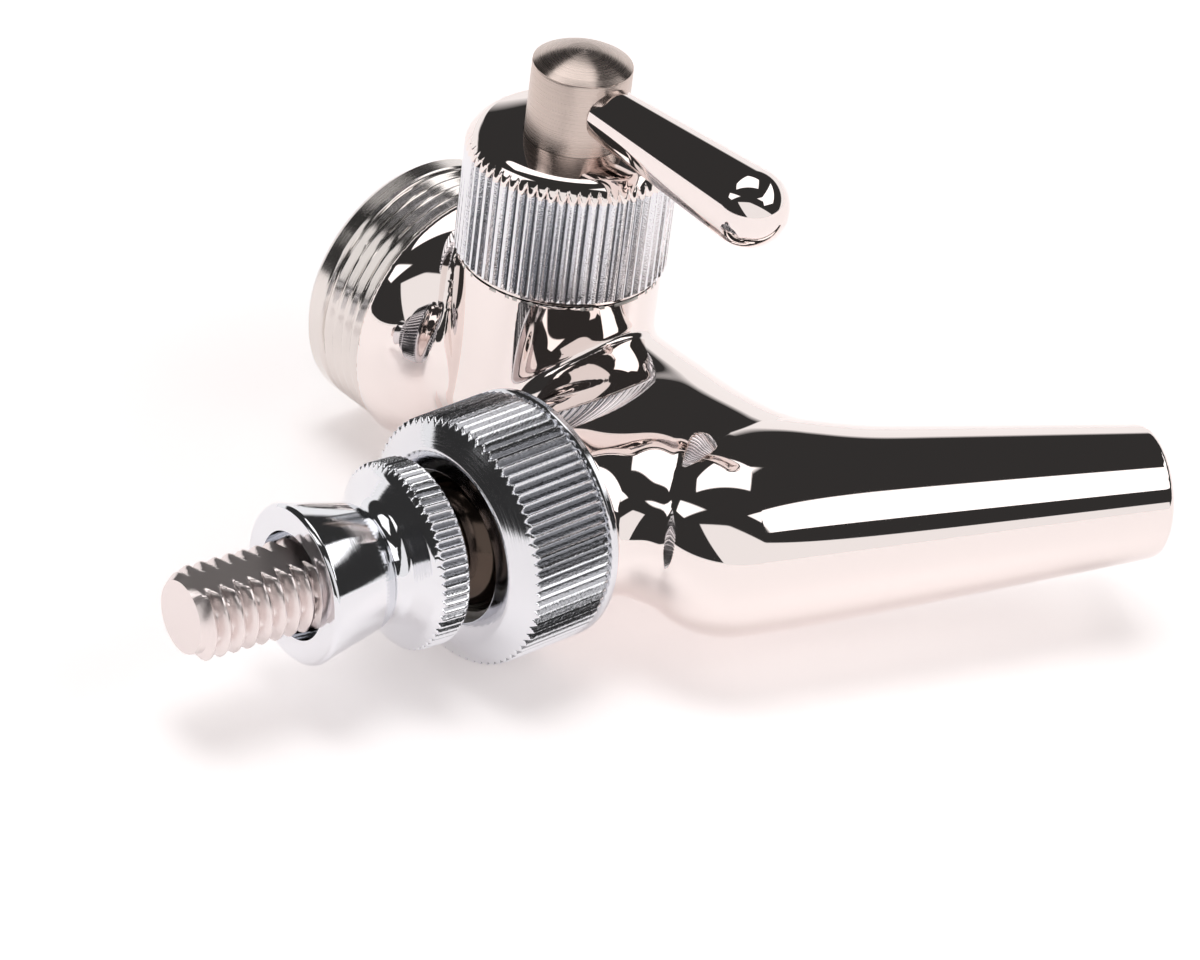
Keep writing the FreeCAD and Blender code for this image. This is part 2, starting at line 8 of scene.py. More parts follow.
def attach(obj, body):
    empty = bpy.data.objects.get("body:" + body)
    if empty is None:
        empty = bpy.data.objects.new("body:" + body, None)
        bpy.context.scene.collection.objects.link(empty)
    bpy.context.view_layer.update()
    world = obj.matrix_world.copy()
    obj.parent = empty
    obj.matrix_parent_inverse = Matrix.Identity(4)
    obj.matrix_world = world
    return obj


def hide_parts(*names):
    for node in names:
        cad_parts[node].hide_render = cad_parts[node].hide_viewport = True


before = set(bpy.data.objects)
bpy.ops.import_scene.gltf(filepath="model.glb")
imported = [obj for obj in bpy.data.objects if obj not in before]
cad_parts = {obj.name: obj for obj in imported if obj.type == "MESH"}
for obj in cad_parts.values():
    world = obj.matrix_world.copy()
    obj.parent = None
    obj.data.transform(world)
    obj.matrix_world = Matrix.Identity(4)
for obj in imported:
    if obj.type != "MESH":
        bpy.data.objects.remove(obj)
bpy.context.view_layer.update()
milli = 0.001  # pieces are modelled in millimetres and scaled down once

# where the turning axes lie, in millimetres from the inlet face's centre, and how far two lean, in degrees
layout = {
    "flowDepth": 22.7, "neckDepth": 42.2, "ballReach": 24.5, "barHeight": 33.6,
    "noseCentre": (-3.9, -55.8, 0), "closedLean": 6.5, "spoutLean": 21.7,
}


def axisPlace(origin, zAxis, xAxis):  # local Z along a piece's turning axis
    z = Vector(zAxis).normalized()
    x = Vector(xAxis)
    x = (x - z * x.dot(z)).normalized()
    turn = Matrix([x, z.cross(x), z]).transposed().to_4x4()
    return Matrix.Translation(origin) @ turn


closedLean = math.radians(layout["closedLean"])
spoutLean = math.radians(layout["spoutLean"])
studAxis = (-math.cos(closedLean), math.sin(closedLean), 0)
spoutAxis = (math.cos(spoutLean), -math.sin(spoutLean), 0)
inletPlace = axisPlace((0, 0, 0), (0, -1, 0), (1, 0, 0))
flowPlace = axisPlace((0, -layout["flowDepth"], 0), (0, 0, 1), (1, 0, 0))
neckPlace = axisPlace((0, -layout["neckDepth"], 0), (-1, 0, 0), (0, 1, 0))
leverPlace = axisPlace((-layout["ballReach"], -layout["neckDepth"], 0), studAxis, (0, 0, 1))
barPlace = axisPlace((0, -layout["flowDepth"], layout["barHeight"]), (0, -1, 0), (0, 0, 1))
spoutPlace = axisPlace(layout["noseCentre"], spoutAxis, (0, 0, 1))


def srgb(text):  # hex colour to linear red, green, blue and alpha
    parts = [int(text[i:i + 2], 16) / 255 for i in (1, 3, 5)]
    return [c / 12.92 if c <= 0.04045 else ((c + 0.055) / 1.055) ** 2.4 for c in parts] + [1]


def addNode(tree, kind, inputs=None, **settings):
    node = tree.nodes.new(kind)
    for key, value in settings.items():
        setattr(node, key, value)
    for key, value in (inputs or {}).items():
        if isinstance(value, bpy.types.NodeSocket):
            tree.links.new(value, node.inputs[key])
        else:
            node.inputs[key].default_value = value
    return node


# sizes in millimetres; sharpAt and dullAt are the noise values where a finish is least and most rough
ringGloss = {"spread": 0.8, "turn": 0.25}
buffing = {"patch": 4, "octaves": 5, "sharpAt": 0.35, "dullAt": 0.75, "sharp": 0.015, "dull": 0.045}
turning = {"height": 0.04, "octaves": 2, "sharpAt": 0.3, "dullAt": 0.7}
grit = {"height": 0.06, "octaves": 3}


def newMaterial(name, color, rough, metallic=1.0, detail=None, turned=None):
    material = bpy.data.materials.new(name)
    material.use_nodes = True
    tree = material.node_tree
    shader = tree.nodes["Principled BSDF"]
    shader.inputs["Base Color"].default_value = srgb(color)
    shader.inputs["Roughness"].default_value = rough
    shader.inputs["Metallic"].default_value = metallic
    if turned:  # rings round this axis spread the light across them
        shader.inputs["Anisotropic"].default_value = ringGloss["spread"]
        shader.inputs["Anisotropic Rotation"].default_value = ringGloss["turn"]
        rings = addNode(tree, "ShaderNodeTangent", direction_type="RADIAL", axis=turned)
        tree.links.new(rings.outputs["Tangent"], shader.inputs["Tangent"])
    if detail:
        detail(tree, shader)
    return material


def polishHaze(tree, shader):  # a buffing wheel leaves patches a little less sharp
    coords = addNode(tree, "ShaderNodeTexCoord")
    noise = addNode(tree, "ShaderNodeTexNoise", {
        "Vector": coords.outputs["Object"], "Scale": 1 / (buffing["patch"] * milli),
        "Detail": buffing["octaves"]})
    rough = addNode(tree, "ShaderNodeMapRange", {
        "Value": noise.outputs["Fac"], "From Min": buffing["sharpAt"], "From Max": buffing["dullAt"],
        "To Min": buffing["sharp"], "To Max": buffing["dull"]})
    tree.links.new(rough.outputs["Result"], shader.inputs["Roughness"])


def turningMarks(place, spacing, strength, sharpest, dullest):
    def detail(tree, shader):  # rings that a lathe tool or a cloth leaves round the axis, spacing in mm
        coords = addNode(tree, "ShaderNodeTexCoord")
        local = addNode(tree, "ShaderNodeMapping", {
            "Vector": coords.outputs["Object"], "Location": place.translation * milli,
            "Rotation": place.to_euler()}, vector_type="TEXTURE")
        parts = addNode(tree, "ShaderNodeSeparateXYZ", {"Vector": local.outputs["Vector"]})
        flat = addNode(tree, "ShaderNodeCombineXYZ", {0: parts.outputs["X"], 1: parts.outputs["Y"]})
        radius = addNode(tree, "ShaderNodeVectorMath", {0: flat.outputs["Vector"]}, operation="LENGTH")
        rings = addNode(tree, "ShaderNodeCombineXYZ", {0: radius.outputs["Value"], 1: parts.outputs["Z"]})
        noise = addNode(tree, "ShaderNodeTexNoise", {
            "Vector": rings.outputs["Vector"], "Scale": 1 / (spacing * milli), "Detail": turning["octaves"]})
        bump = addNode(tree, "ShaderNodeBump", {
            "Strength": strength, "Distance": turning["height"] * milli, "Height": noise.outputs["Fac"]})
        tree.links.new(bump.outputs["Normal"], shader.inputs["Normal"])
        rough = addNode(tree, "ShaderNodeMapRange", {
            "Value": noise.outputs["Fac"], "From Min": turning["sharpAt"], "From Max": turning["dullAt"],
            "To Min": sharpest, "To Max": dullest})
        tree.links.new(rough.outputs["Result"], shader.inputs["Roughness"])
    return detail


def grain(size, strength, stretch=(1, 1, 1)):
    def detail(tree, shader):  # size is the width of a grain in mm
        coords = addNode(tree, "ShaderNodeTexCoord")
        local = addNode(tree, "ShaderNodeMapping", {"Vector": coords.outputs["Object"], "Scale": stretch})
        noise = addNode(tree, "ShaderNodeTexNoise", {
            "Vector": local.outputs["Vector"], "Scale": 1 / (size * milli), "Detail": grit["octaves"]})
        bump = addNode(tree, "ShaderNodeBump", {
            "Strength": strength, "Distance": grit["height"] * milli, "Height": noise.outputs["Fac"]})
        tree.links.new(bump.outputs["Normal"], shader.inputs["Normal"])
    return detail


# chrome plate, buffed: a mirror with a faint haze
chrome = newMaterial("buffed_chrome_plate", "#efe6e3", 0.03, 1.0, polishHaze)
# chrome plate over rolled teeth: bright, with dots left by the roll drawn 0.25 mm wide
knurlUpright = newMaterial("knurled_chrome_upright", "#eaebef", 0.07, 1.0, grain(0.25, 0.4, (1, 1, 1.6)))
# the level copy, on the bonnet and the collar, is painted darker than the upright one as painted shade
knurlLevel = newMaterial("knurled_chrome_level_painted_shade", "#dddee2", 0.07, 1.0, grain(0.25, 0.4, (1.6, 1, 1)))
# the same plate down in the grooves, rougher, and painted darker as the grooves' shade
knurlGroove = newMaterial("knurl_groove_painted_shade", "#9c9da1", 0.16, 1.0, grain(0.25, 0.6))
# chrome plate on turned faces: soft, with rings round the axis
turnedBonnet = newMaterial("turned_chrome_bonnet", "#dfe0e4", 0.09, 1.0,
                           turningMarks(neckPlace, 0.12, 0.15, 0.05, 0.13), "X")
turnedCollar = newMaterial("turned_chrome_collar", "#e5e6ea", 0.06, 1.0,
                           turningMarks(leverPlace, 0.12, 0.1, 0.04, 0.09))
# stainless steel cut with a die: satin grey with a warm cast
threadSteel = newMaterial("threaded_stainless_stud", "#e8dedc", 0.28, 1.0, grain(0.3, 0.25))
# stainless steel turned and threaded: the light fans out across the rings
threadFlange = newMaterial("threaded_stainless_flange", "#e2dcd8", 0.16, 1.0,
                           turningMarks(inletPlace, 0.12, 0.25, 0.1, 0.22), "Y")
# stainless steel off the lathe: the light runs along the post and fans out on its dome
brushedStem = newMaterial("brushed_stainless_stem", "#cebfb7", 0.26, 1.0,
                          turningMarks(flowPlace, 0.1, 0.2, 0.2, 0.32), "Z")
# stainless steel ball in its recess, painted dark and brownish as the recess's shade
ballSteel = newMaterial("stainless_ball_painted_shade", "#4f443d", 0.14, 1.0, grain(0.5, 0.1))
# machined steel of the inner pieces and the bores: plain grey, a little rough
innerSteel = newMaterial("machined_steel", "#b9b6b2", 0.3, 1.0, grain(0.5, 0.3))
# moulded nitrile rubber, dark and dull
sealRubber = newMaterial("seal_rubber", "#1b1b1c", 0.6, 0.0, grain(0.3, 0.4))
gasketRubber = newMaterial("gasket_rubber", "#2c2c2e", 0.7, 0.0, grain(0.4, 0.5))
# moulded acetal, white and slightly waxy
whitePlastic = newMaterial("white_acetal", "#dedad2", 0.4, 0.0, grain(0.6, 0.2))
print("materials ready")

# a long spin is slow, so an eighth is spun and copied round; reaches in millimetres, angle in degrees
lathe = {"wedges": 8, "cornerCuts": 4, "merge": 0.0005, "sliver": 0.0003, "onAxis": 0.01, "sharp": 32}


def turnedMesh(outline, place, steps, closed=False):
    mesh = bmesh.new()  # outline rows are radius, height and, at a rounded corner, the rounding's reach
    rounded = {}
    verts = []
    for radius, height, *reach in outline:
        vert = mesh.verts.new((radius, 0, height))
        verts.append(vert)
        if reach:
            rounded.setdefault(reach[0], []).append(vert)
    for first, second in zip(verts, verts[1:] + (verts[:1] if closed else [])):
        mesh.edges.new((first, second))
    for reach, corners in rounded.items():
        bmesh.ops.bevel(mesh, geom=corners, offset=reach, segments=lathe["cornerCuts"], profile=0.5,
                        affect="VERTICES", material=-1)
    wedgeAngle = 2 * math.pi / lathe["wedges"]
    bmesh.ops.spin(mesh, geom=mesh.verts[:] + mesh.edges[:], axis=(0, 0, 1), cent=(0, 0, 0),
                   steps=steps // lathe["wedges"], angle=wedgeAngle)
    wedge = mesh.verts[:] + mesh.edges[:] + mesh.faces[:]
    for i in range(1, lathe["wedges"]):
        copied = bmesh.ops.duplicate(mesh, geom=wedge)["geom"]
        bmesh.ops.rotate(mesh, verts=[item for item in copied if isinstance(item, bmesh.types.BMVert)],
                         cent=(0, 0, 0), matrix=Matrix.Rotation(i * wedgeAngle, 3, "Z"))
    bmesh.ops.remove_doubles(mesh, verts=mesh.verts, dist=lathe["merge"])
    bmesh.ops.dissolve_degenerate(mesh, edges=mesh.edges, dist=lathe["sliver"])
    bmesh.ops.recalc_face_normals(mesh, faces=mesh.faces)
    mesh.transform(place)
    return mesh


def moveRadii(mesh, place, shift):  # shift(angle, height, radius) is the change of radius
    back = place.inverted()
    for vert in mesh.verts:
        spot = back @ vert.co
        radius = math.hypot(spot.x, spot.y)
        if radius < lathe["onAxis"]:
            continue
        scale = 1 + shift(math.atan2(spot.y, spot.x), spot.z, radius) / radius
        vert.co = place @ Vector((spot.x * scale, spot.y * scale, spot.z))


def paint(mesh, place, choose):  # choose(height, radius) gives the number of a face's material
    back = place.inverted()
    for face in mesh.faces:
        spot = back @ face.calc_center_median()
        face.material_index = choose(spot.z, math.hypot(spot.x, spot.y))


def meshObject(name, mesh):  # the mesh goes from millimetres to metres
    bmesh.ops.scale(mesh, vec=(milli, milli, milli), verts=mesh.verts)
    data = bpy.data.meshes.new(name)
    mesh.to_mesh(data)
    mesh.free()
    made = bpy.data.objects.new(name, data)
    bpy.context.scene.collection.objects.link(made)
    return made


def addPiece(name, mesh, body, materials, node=None):
    piece = meshObject(name, mesh)
    piece.data.shade_smooth()
    piece.data.set_sharp_from_angle(angle=math.radians(lathe["sharp"]))
    for material in materials:
        piece.data.materials.append(material)
    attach(piece, body)
    if node:
        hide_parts(node)
    return piece


def evenRows(radius, low, high, count):
    return [(radius, low + (high - low) * i / count) for i in range(count + 1)]


# the casting's forms, and how far the fillets between them reach
casting = {
    "barrelRadius": 10.0, "barrelBack": 8.9, "barrelEnd": 53.0,
    "bossRadius": 10.7, "bossTop": 14.6, "bossBottom": -5.0, "bossRound": 4.0,
    "neckRadius": 10.3, "neckInner": 3, "threadRise": 1.1, "threadStart": 18.4, "neckMouth": 25.4,
    "noseRadius": 10.45, "taper": 0.0835, "taperStart": 5.3, "spoutLength": 46.8, "lipRound": 0.8,
    "shoulderRadius": 14.7, "shoulderDepth": 9.1, "shoulderRun": 8.3, "shoulderPower": 2.2,
    "shoulderScale": 9, "rimRound": 1.0,
    "neckBlend": 8.0, "valleyBlend": 12.0, "crookBlend": 16.0, "bossBlend": 2.0, "shoulderBlend": 1.2,
    "valleyEnd": -6, "crookStart": 4, "blendFade": 0.35, "leastBlend": 0.05, "normalReach": 4,
}
# the grid that the skin is drawn on, and how its points and normals settle on the form
skin = {
    "low": (-27.0, -83.0, -15.5), "high": (45.0, -7.5, 16.5), "pitch": 0.4, "quickPitch": 0.7,
    "slopeReach": 0.02, "passes": 10, "passShare": 0.8, "leastSlope": 0.3,
    "sharp": 35, "onSkin": 0.01, "sameWay": 0.94, "boreDepth": 0.05, "boreSteps": 72,
}


def softMin(a, b, k):  # the smaller of two distances, rounded off where they differ by less than k
    h = np.maximum(k - np.abs(a - b), 0) / k
    return np.minimum(a, b) - h * h * h * k / 6


def ramp(x, low, high):  # 0 below low, 1 above high, smooth between
    t = np.clip((x - low) / (high - low), 0, 1)
    return t * t * (3 - 2 * t)


def unit(v):  # the tiny length stands in for zero, so no point divides by it
    return v / np.maximum(np.linalg.norm(v, axis=1), 1e-9)[:, None]


def roundedCorner(a, b, radius):  # distance from two walls that meet in a round edge
    return np.hypot(np.maximum(a, 0), np.maximum(b, 0)) + np.minimum(np.maximum(a, b), 0) - radius


def blend(first, second, reach):  # a fillet that fades out where two surfaces run side by side
    a, normalA = first
    b, normalB = second
    turn = np.maximum(1 - (normalA * normalB).sum(1), 0)
    share = 0.5 * (np.maximum(casting["normalReach"] - np.abs(a - b), 0) / casting["normalReach"]) ** 2
    share = np.where(a < b, 1 - share, share)[:, None]
    fillet = reach * turn / (turn + casting["blendFade"]) + casting["leastBlend"]
    return softMin(a, b, fillet), unit(normalA * share + normalB * (1 - share))


# each form gives how far points in millimetres lie outside it, and which way its surface faces there
def barrelForm(p):
    c = casting
    x, y, z = p[:, 0], p[:, 1], p[:, 2]
    tail = np.minimum(y + c["barrelEnd"], 0)
    far = np.maximum(np.sqrt(x * x + z * z + tail * tail) - c["barrelRadius"], y + c["barrelBack"])
    return far, unit(np.stack([x, tail, z], 1))


def neckForm(p):
    c = casting
    x, z = p[:, 0], p[:, 2]
    y = p[:, 1] + layout["neckDepth"]
    inner = np.maximum(x + c["neckInner"], 0)
    flare = c["threadRise"] * ramp(-x, c["threadStart"] - 2 * c["threadRise"], c["threadStart"])
    far = np.sqrt(y ** 2 + z * z + inner * inner) - c["neckRadius"] - flare
    return np.maximum(far, -x - c["neckMouth"]), unit(np.stack([inner, y, z], 1))


def bossForm(p):
    c = casting
    x, z = p[:, 0], p[:, 2]
    y = p[:, 1] + layout["flowDepth"]
    side = np.hypot(x, y)
    half = c["bossTop"] - c["bossBottom"]
    far = roundedCorner(side - c["bossRadius"] + c["bossRound"],
                        np.abs(z - c["bossBottom"] - half) - half + c["bossRound"], c["bossRound"])
    widest = np.maximum(side, c["bossRound"])
    below = np.minimum(z - c["bossBottom"] - c["bossRound"], 0)
    normal = unit(np.stack([x * c["bossRound"] / widest, y * c["bossRound"] / widest, below], 1))
    return np.maximum(far, z - c["bossTop"]), normal


def noseForm(p):
    c = casting
    v = p - np.array(layout["noseCentre"])
    s = v @ np.array(spoutAxis)
    across = v - s[:, None] * np.array(spoutAxis)
    along = np.maximum(s, 0)
    tapered = along - c["taperStart"] * (1 - np.exp(-along / c["taperStart"]))  # the taper sets in gently
    radius = c["noseRadius"] - c["taper"] * tapered
    spout = roundedCorner(np.linalg.norm(across, axis=1) - radius + c["lipRound"],
                          s - c["spoutLength"] + c["lipRound"], c["lipRound"])
    far = np.where(s > 0, spout, np.linalg.norm(v, axis=1) - c["noseRadius"])
    return far, np.where((s > 0)[:, None], unit(across), unit(v))


def shoulderForm(p):  # a domed disc behind the flange; it needs no normal
    c = casting
    x, y, z = p[:, 0], p[:, 1], p[:, 2]
    u = np.maximum(-y - c["shoulderDepth"], 0) / c["shoulderRun"]
    t = np.hypot(x, z) / c["shoulderRadius"]
    dome = 1 - (u ** c["shoulderPower"] + t ** c["shoulderPower"]) ** (1 / c["shoulderPower"])
    return -softMin(dome * c["shoulderScale"], -c["barrelBack"] - y, c["rimRound"])


def castingField(p):
    c = casting
    joined = blend(barrelForm(p), neckForm(p), c["neckBlend"])
    crook = ramp(p[:, 0], c["valleyEnd"], c["crookStart"])
    joined = blend(joined, noseForm(p), c["valleyBlend"] + (c["crookBlend"] - c["valleyBlend"]) * crook)
    joined = blend(joined, bossForm(p), c["bossBlend"])
    return softMin(joined[0], shoulderForm(p), c["shoulderBlend"])


def fieldSlope(p):
    slope = np.empty_like(p)
    for i in range(3):
        nudge = np.zeros(3)
        nudge[i] = skin["slopeReach"]
        slope[:, i] = (castingField(p + nudge) - castingField(p - nudge)) / (2 * skin["slopeReach"])
    return slope


def castingSkin(pitch):  # operators leave dents in such a mirror, so each grid cell on the skin gets a point
    low = np.array(skin["low"])
    count = np.ceil((np.array(skin["high"]) - low) / pitch).astype(int)
    axes = [low[i] + pitch * np.arange(count[i]) for i in range(3)]
    values = np.empty(count)
    for i in range(count[0]):
        layer = np.stack(np.meshgrid(axes[0][i:i + 1], axes[1], axes[2], indexing="ij"), -1)
        values[i] = castingField(layer.reshape(-1, 3)).reshape(count[1:])
    inside = values < 0
    cells = np.zeros(count - 1, dtype=np.int8)
    for corner in np.ndindex(2, 2, 2):
        cells += inside[tuple(slice(c, c + n - 1) for c, n in zip(corner, count))]
    crossed = (cells > 0) & (cells < 8)
    number = np.full(crossed.shape, -1)
    number[crossed] = np.arange(crossed.sum())
    points = low + pitch * (np.argwhere(crossed) + 0.5)
    for _ in range(skin["passes"]):
        slope = fieldSlope(points)
        steep = np.maximum((slope ** 2).sum(1), skin["leastSlope"])
        points -= slope * (castingField(points) / steep)[:, None] * skin["passShare"]
    quads = []
    for axis in range(3):  # a quad joins the four cells round each grid edge that the skin crosses
        b, c = (axis + 1) % 3, (axis + 2) % 3
        ahead = [slice(None)] * 3
        behind = [slice(None)] * 3
        behind[axis], ahead[axis] = slice(0, -1), slice(1, None)
        first, second = inside[tuple(behind)], inside[tuple(ahead)]
        for flip, change in ((False, first & ~second), (True, ~first & second)):
            spots = np.argwhere(change)
            spots = spots[(spots[:, b] > 0) & (spots[:, c] > 0)]
            around = []
            for stepB, stepC in ((0, 0), (-1, 0), (-1, -1), (0, -1)):
                cell = spots.copy()
                cell[:, b] += stepB
                cell[:, c] += stepC
                around.append(number[tuple(cell.T)])
            faces = np.stack(around, 1)
            quads.append(faces[:, ::-1] if flip else faces)
    return points, np.concatenate(quads)


bores = [  # turned cutters: where they stand, and radius and height along their outlines
    (inletPlace, [(0, 5), (6.5, 5), (6.5, 50.75), (4.4, 50.75), (4.4, 55.8), (0, 55.8)]),
    (flowPlace, [(0, 0), (4.1, 0), (4.1, 7.4), (7.6, 7.4), (7.6, 17), (0, 17)]),
    (neckPlace, [(0, 0), (6.4, 0), (6.4, 15.2), (8.5, 15.2), (8.5, 24.4), (9.45, 24.4), (9.45, 28),
                 (0, 28)]),
    (spoutPlace, [(0, -4.9), (3.9, -3), (4.9, 0), (5.3, 41.8), (5.3, 46.3), (5.9, 47), (5.9, 50),
                  (0, 50)]),
]


def cutBore(piece, place, outline):
    cutter = meshObject("cutter", turnedMesh(outline, place, skin["boreSteps"]))
    cut = piece.modifiers.new("bore", "BOOLEAN")
    cut.operation = "DIFFERENCE"
    cut.solver = "EXACT"
    cut.object = cutter
    bpy.context.view_layer.objects.active = piece
    bpy.ops.object.modifier_apply(modifier="bore")
    bpy.data.objects.remove(cutter)


def smoothSkin(data):  # true normals on the blended outside, and sharp edges round the bores
    data.shade_smooth()
    data.set_sharp_from_angle(angle=math.radians(skin["sharp"]))
    points = np.empty(len(data.vertices) * 3)
    data.vertices.foreach_get("co", points)
    points = points.reshape(-1, 3) / milli
    slope = unit(fieldSlope(points))
    onSkin = np.abs(castingField(points)) < skin["onSkin"]
    loopVerts = np.empty(len(data.loops), dtype=np.int64)
    data.loops.foreach_get("vertex_index", loopVerts)
    normals = np.empty(len(data.loops) * 3, dtype=np.float32)
    data.corner_normals.foreach_get("vector", normals)
    normals = normals.reshape(-1, 3)
    loopSlope = slope[loopVerts]
    use = onSkin[loopVerts] & ((normals * loopSlope).sum(1) > skin["sameWay"])
    normals[use] = loopSlope[use]
    data.normals_split_custom_set([tuple(n) for n in normals])


def makeCasting():
    points, quads = castingSkin(skin["pitch"])
    rough = bpy.data.meshes.new("casting")
    rough.from_pydata(points.tolist(), [], quads.tolist())
    mesh = bmesh.new()
    mesh.from_mesh(rough)
    bmesh.ops.recalc_face_normals(mesh, faces=mesh.faces)
    piece = addPiece("body_casting", mesh, "body", [chrome], "faucet_body")
    for place, outline in bores:
        cutBore(piece, place, outline)
    data = piece.data
    data.materials.append(innerSteel)
    centres = np.array([face.center for face in data.polygons]) / milli
    inBore = castingField(centres) < -skin["boreDepth"]
    data.polygons.foreach_set("material_index", inBore.astype(np.int32))
    smoothSkin(data)
    return len(data.polygons)


print("casting ready", makeCasting())

# an outline runs along the front rows, the even rows of the side and the back rows
flange = {
    "front": [(6.5, 5.5), (6.5, 2.0), (12.0, 2.0), (12.0, 0.3), (12.3, 0.0), (13.55, 0.0), (13.8, 0.1)],
    "side": (0.75, 9.1), "rows": 72, "back": [(14.1, 9.3), (6.5, 9.3)], "steps": 200,
    "radius": 14.29, "pitch": 1.411, "depth": 0.62, "open": 0.85, "low": 2.4, "high": 8.9, "fade": 0.5,
    "cutReach": 0.9,
}


def threadGroove(thread, angle, height):  # 0 on a crest, 1 at a root
    phase = (height / thread["pitch"] - angle / (2 * math.pi)) % 1
    return max(0, 1 - abs(phase * 2 - 1) / thread["open"])


def flangeShift(angle, height, radius):  # a helical groove that fades at both ends
    f = flange
    if radius < f["radius"] - f["cutReach"] or not f["low"] < height < f["high"]:
        return 0
    fade = min(1, (height - f["low"]) / f["fade"], (f["high"] - height) / f["fade"])
    return -f["depth"] * threadGroove(f, angle, height) * fade


flangeMesh = turnedMesh([*flange["front"], *evenRows(flange["radius"], *flange["side"], flange["rows"]),
                         *flange["back"]], inletPlace, flange["steps"], closed=True)
moveRadii(flangeMesh, inletPlace, flangeShift)
addPiece("inlet_flange", flangeMesh, "body", [threadFlange])


def teethShift(nut):  # straight V grooves of one depth, so the teeth end in points on a bevel
    def shift(angle, height, radius):
        if radius < nut["radius"] - 2 * nut["depth"] or not nut["low"] < height < nut["high"]:
            return 0
        phase = abs(angle * nut["teeth"] / (2 * math.pi) % 1 * 2 - 1)
        cut = max(0, (phase - nut["crest"]) / (1 - nut["crest"]))
        return min(0, nut["radius"] - nut["depth"] * cut - radius)
    return shift


def knurlFinish(nut):  # the material's number: 0 on the teeth, 1 on plain faces, 2 down in the grooves, which carry painted shade
    def choose(height, radius):
        low, high = nut["knurled"]
        if height > high or height < low or radius < nut["wall"]:
            return 1
        low, high = nut["grooved"]
        return 2 if low < height < high and radius < nut["grooveRadius"] else 0
    return choose


def addKnurledNut(name, nut, place, body, materials, node):
    outline = [*nut["front"], *evenRows(nut["radius"], *nut["side"], nut["rows"]), *nut["back"]]
    mesh = turnedMesh(outline, place, nut["teeth"] * nut["toothSteps"], closed=True)
    moveRadii(mesh, place, teethShift(nut))
    paint(mesh, place, knurlFinish(nut))
    addPiece(name, mesh, body, materials, node)


bonnet = {
    "teeth": 74, "toothSteps": 12, "radius": 13.1, "depth": 0.6, "low": 19.2, "high": 29.0, "crest": 0.05,
    "front": [(8.0, 28.6), (8.0, 30.1, 0.2), (10.2, 30.1, 0.25), (12.2, 28.85), (12.4, 28.7), (12.6, 28.57),
              (12.8, 28.45), (13.0, 28.3)],
    "side": (28.2, 19.5), "rows": 16,
    "back": [(12.9, 19.35), (12.7, 19.25), (12.5, 19.2), (12.5, 19.1), (12.95, 18.95), (13.1, 18.8),
             (13.1, 18.35), (12.9, 18.1), (11.5, 18.1), (11.5, 25.5), (9.5, 25.5), (9.5, 28.6)],
    "knurled": (19.2, 28.25), "wall": 12, "grooved": (19.4, 28.3), "grooveRadius": 12.88,
}
addKnurledNut("bonnet_nut", bonnet, neckPlace, "body", [knurlLevel, turnedBonnet, knurlGroove], "bonnet")

cap = {
    "teeth": 62, "toothSteps": 12, "radius": 11.1, "depth": 0.5, "low": 15.0, "high": 28.2, "crest": 0.3,
    "front": [(9.6, 14.7), (10.6, 14.7, 0.1), (10.6, 15.05), (10.8, 15.15), (11.0, 15.3)],
    "side": (15.4, 26.9), "rows": 22,
    "back": [(11.05, 27.2), (10.95, 27.5), (10.8, 27.8), (10.6, 28.05), (10.4, 28.35), (9.8, 28.95, 0.4),
             (9.3, 29.1), (5.25, 29.1), (5.25, 24.2), (9.6, 24.2)],
    "knurled": (15.1, 27.0), "wall": 10, "grooved": (15.0, 27.1), "grooveRadius": 10.7,
}
addKnurledNut("flow_cap_nut", cap, flowPlace, "body", [knurlUpright, chrome, knurlGroove], "flow_cap")

collar = {
    "teeth": 62, "toothSteps": 12, "radius": 9.7, "depth": 0.45, "low": 7.9, "high": 11.6, "crest": 0.12,
    "front": [(5.7, 7.7), (8.7, 7.7, 0.15), (9.2, 8.1), (9.4, 8.2), (9.55, 8.3)],
    "side": (8.45, 11.05), "rows": 8,
    "back": [(9.6, 11.15), (9.4, 11.27), (9.2, 11.4), (8.7, 11.8, 0.25), (5.9, 13.2, 0.8), (5.9, 14.6, 0.2),
             (6.5, 15.0, 0.3), (8.3, 22.6, 0.15), (7.95, 23.0, 0.1), (5.6, 23.0), (5.6, 19.0), (4.87, 19.0),
             (4.87, 9.2), (5.7, 9.2)],
    "knurled": (8.1, 11.2), "wall": 8.9, "grooved": (8.5, 11.0), "grooveRadius": 9.53,
}
addKnurledNut("bell_collar", collar, leverPlace, "collar", [knurlLevel, turnedCollar, knurlGroove],
              "lever_collar")
print("flange, bonnet, cap and collar ready")

lever = {
    "arm": [(0, -21.8), (1.2, -21.45), (2.0, -20.7), (2.3, -19.5), (2.1, -18.6), (1.9, -18.2)],
    "ball": 7.94, "ballSteps": 40, "armRadius": 1.9, "rootRadius": 5.6,
    "root": [(5.6, 9.0), (5.5, 9.1), (4.76, 9.12)],
    "side": (9.2, 34.6), "rows": 150, "tip": [(4.4, 34.95), (3.75, 35.68), (3.6, 35.7), (0, 35.7)],
    "radius": 4.7625, "pitch": 1.5875, "depth": 0.9, "open": 0.85, "threadStart": 14.0, "end": 35.7,
    "threadRadius": 3.8, "flat": 3.75, "flatStart": 16.7, "flatRadius": 3.0, "steelFrom": 9.1, "steps": 120,
}


def studShift(angle, height, radius):  # rolled thread with a flat milled on two sides
    move = 0
    if height > lever["threadStart"] and radius > lever["threadRadius"]:
        fade = min(1, height - lever["threadStart"], max(0, lever["end"] - height))
        move = -lever["depth"] * threadGroove(lever, angle, height) * fade
    if height > lever["flatStart"] and radius > lever["flatRadius"]:
        move = min(move, lever["flat"] / max(abs(math.cos(angle)), 1e-6) - radius)
    return move


